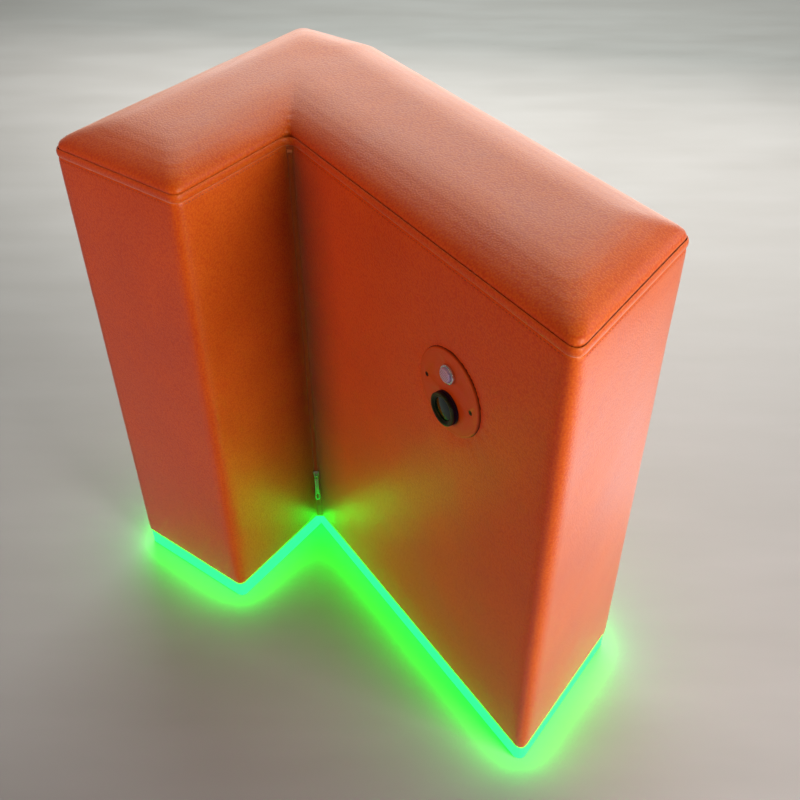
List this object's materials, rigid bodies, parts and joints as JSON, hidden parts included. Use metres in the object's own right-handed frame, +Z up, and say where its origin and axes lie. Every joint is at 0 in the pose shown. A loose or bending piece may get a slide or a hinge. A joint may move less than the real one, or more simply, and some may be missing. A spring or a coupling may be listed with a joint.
{
  "type": "photo booth",
  "caption": "Compact V-shaped upholstered photo booth with a crowned padded top, a camera and shutter button on a round plate, a corner zip and a glowing base band.",
  "frame": {"origin": "bottom centre of the bounding box, on the floor under the foot glides", "axes": "+Z up, the V opens towards -Y along the line that halves the angle between the inner faces, +X to the right wing"},
  "size_m": [1.0587, 1.1208, 1.085],
  "materials": {
    "orange_leather": "pebbled, satin",
    "upholstery_foam": "open-cell foam",
    "birch_plywood": "sanded plywood",
    "pine_timber": "planed softwood",
    "black_nylon": "moulded nylon",
    "anodised_aluminium": "anodised extrusion",
    "flexible_circuit": "white flexible circuit",
    "green_light": "opal silicone, lit green",
    "zip_fabric": "woven tape and coil",
    "zip_metal": "nickel plated",
    "orange_enamel": "satin enamel",
    "black_rubber": "moulded rubber",
    "blackened_steel": "blackened steel",
    "brass_insert": "turned brass",
    "satin_chrome": "satin chrome",
    "spring_steel": "spring steel",
    "black_anodised": "black anodised",
    "optical_glass": "coated glass",
    "black_moulding": "moulded ABS",
    "zinc_steel": "zinc plated sheet"
  },
  "bodies": {
    "booth": {"base_board": "birch_plywood", "button_bezel": "satin_chrome", "button_nut": "black_nylon", "button_spring": "spring_steel", "button_switch": "black_moulding", "cable_gland": "black_nylon", "camera_body": "black_moulding", "camera_bracket": "zinc_steel", "control_plate": "orange_enamel", "controller": "zinc_steel", "corner_posts": "pine_timber", "foam_ab": "upholstery_foam", "foam_bc": "upholstery_foam", "foam_cd": "upholstery_foam", "foam_de": "upholstery_foam", "foam_ef": "upholstery_foam", "foam_fg": "upholstery_foam", "foam_ga": "upholstery_foam", "foot_glides": "black_nylon", "gland_nut": "black_nylon", "inner_lenses": "optical_glass", "leather_band": "orange_leather", "leather_skirt": "orange_leather", "leather_top": "orange_leather", "lens_barrel": "black_anodised", "lens_glass": "optical_glass", "lens_lock_ring": "black_anodised", "lens_rim": "black_anodised", "light_diffuser": "green_light", "light_rails": "anodised_aluminium", "light_strip": "flexible_circuit", "middle_stiffener": "birch_plywood", "panel_ab": "birch_plywood", "panel_bc": "birch_plywood", "panel_cd": "birch_plywood", "panel_de": "birch_plywood", "panel_ef": "birch_plywood", "panel_fg": "birch_plywood", "panel_ga": "birch_plywood", "plate_gasket": "black_rubber", "plate_inserts": "brass_insert", "plate_screws": "blackened_steel", "plate_spacers": "black_nylon", "plinth_rails": "pine_timber", "power_supply": "zinc_steel", "power_switch_frame": "black_nylon", "top_board": "birch_plywood", "top_foam": "upholstery_foam", "zip_chain": "zip_fabric", "zip_stops": "zip_metal", "zip_tape": "zip_fabric"},
    "button": {"button_cap": "satin_chrome", "button_clip": "spring_steel"},
    "focus": {"focus_ring": "black_anodised"},
    "slider": {"zip_slider": "zip_metal"},
    "pull": {"zip_pull": "zip_metal"},
    "rocker": {"power_rocker": "black_nylon"}
  },
  "joints": [
    {"name": "button_press", "type": "slide", "parent": "booth", "child": "button", "axis": [0.8192, 0.5736, 0], "range_m": [0, 0.003], "stiffness_N_per_m": 600, "springref_m": -0.003, "deforming": ["button_spring"]},
    {"name": "focus_turn", "type": "hinge", "parent": "booth", "child": "focus", "pos_m": [0.17037, -0.3518, 0.762], "axis": [-0.8192, -0.5736, 0], "range_deg": [-45, 45]},
    {"name": "zip_slide", "type": "slide", "parent": "booth", "child": "slider", "axis": [0, 0, 1], "range_m": [0, 0.811]},
    {"name": "pull_swing", "type": "hinge", "parent": "slider", "child": "pull", "pos_m": [-0.121, 0.04727, 0.192], "axis": [-1, 0, 0], "range_deg": [0, 170]},
    {"name": "rocker_tip", "type": "hinge", "parent": "booth", "child": "rocker", "pos_m": [-0.03353, 0.4839, 0.135], "axis": [-0.8192, 0.5736, 0], "range_deg": [-8, 8]}
  ]
}
